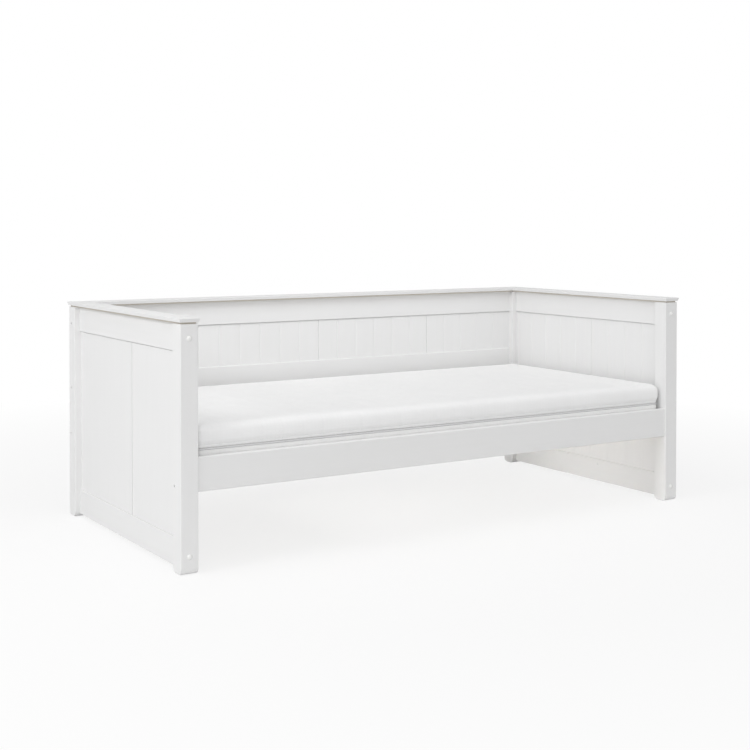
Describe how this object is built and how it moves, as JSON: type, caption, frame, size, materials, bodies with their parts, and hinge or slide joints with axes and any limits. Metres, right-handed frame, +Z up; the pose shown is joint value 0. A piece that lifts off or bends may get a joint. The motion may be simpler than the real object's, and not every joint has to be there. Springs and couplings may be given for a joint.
{
  "type": "daybed",
  "caption": "White daybed with panelled ends and back of equal height, flat cap boards, open front rail, slatted base and a lift-out mattress.",
  "frame": {"origin": "on the floor, under the middle of the daybed's length and depth", "axes": "+X along the length, +Y from the open front to the back, +Z up"},
  "size_m": [2.1388, 1.0208, 0.8],
  "materials": {
    "white_lacquer": "white satin lacquer",
    "bare_pine": "planed, untreated",
    "beech": "fluted dowel, untreated",
    "zinc_steel": "bright zinc",
    "white_plastic": "semi-gloss",
    "quilted_knit": "quilted knit",
    "cover_underside": "plain knit",
    "foam": "cut foam",
    "woven_tape": "woven",
    "zip_tape": "zip tape"
  },
  "bodies": {
    "frame": {"back_bottom_rail": "white_lacquer", "back_cap": "white_lacquer", "back_frame_barrel_nuts": "zinc_steel", "back_frame_bolts": "zinc_steel", "back_frame_dowels": "beech", "back_panel_1": "white_lacquer", "back_panel_2": "white_lacquer", "back_panel_3": "white_lacquer", "back_panel_4": "white_lacquer", "back_top_rail": "white_lacquer", "bed_frame_barrel_nuts": "zinc_steel", "bed_frame_bolts": "zinc_steel", "bed_rail_dowels": "beech", "bolt_covers": "white_plastic", "cap_dowels": "beech", "end_frame_barrel_nuts": "zinc_steel", "end_frame_bolts": "zinc_steel", "end_frame_dowels": "beech", "front_bed_rail": "white_lacquer", "front_ledger": "bare_pine", "ledger_screws": "zinc_steel", "left_bottom_rail": "white_lacquer", "left_cap": "white_lacquer", "left_front_panel": "white_lacquer", "left_front_post": "white_lacquer", "left_rear_panel": "white_lacquer", "left_rear_post": "white_lacquer", "left_top_rail": "white_lacquer", "rear_bed_rail": "white_lacquer", "rear_ledger": "bare_pine", "right_bottom_rail": "white_lacquer", "right_cap": "white_lacquer", "right_front_panel": "white_lacquer", "right_front_post": "white_lacquer", "right_rear_panel": "white_lacquer", "right_rear_post": "white_lacquer", "right_top_rail": "white_lacquer", "slat_screws": "zinc_steel", "slat_tapes": "woven_tape", "slats": "bare_pine"},
    "mattress": {"mattress_core": "foam", "mattress_lower_cover": "cover_underside", "mattress_upper_cover": "quilted_knit", "mattress_zip": "zip_tape", "zip_slider": "zinc_steel"}
  },
  "joints": [
    {"name": "mattress_lift", "type": "slide", "parent": "frame", "child": "mattress", "axis": [0, 0, 1], "range_m": [0, 0.52]}
  ]
}
